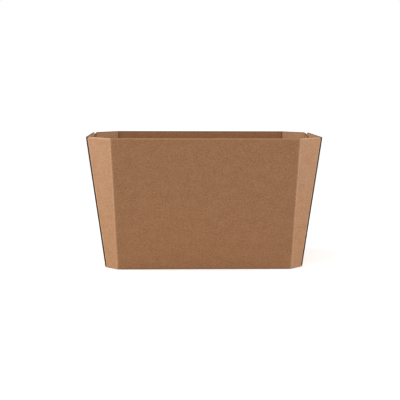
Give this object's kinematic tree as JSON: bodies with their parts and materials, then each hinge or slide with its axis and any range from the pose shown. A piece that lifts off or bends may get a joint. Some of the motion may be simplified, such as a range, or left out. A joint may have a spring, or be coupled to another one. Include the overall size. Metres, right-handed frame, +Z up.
{
  "type": "fruit punnet",
  "caption": "Open-topped fruit punnet folded from kraft corrugated board, with leaning walls and slanted corner facets glued inside the short walls.",
  "frame": {"origin": "centre of the underside, on the surface that the punnet stands on", "axes": "+X along the long walls, +Y from the front long wall to the back one, +Z up through the open rim"},
  "size_m": [0.1898, 0.1158, 0.106],
  "materials": {
    "kraft_board": "matte"
  },
  "bodies": {
    "root": {"punnet": "kraft_board"}
  },
  "joints": []
}
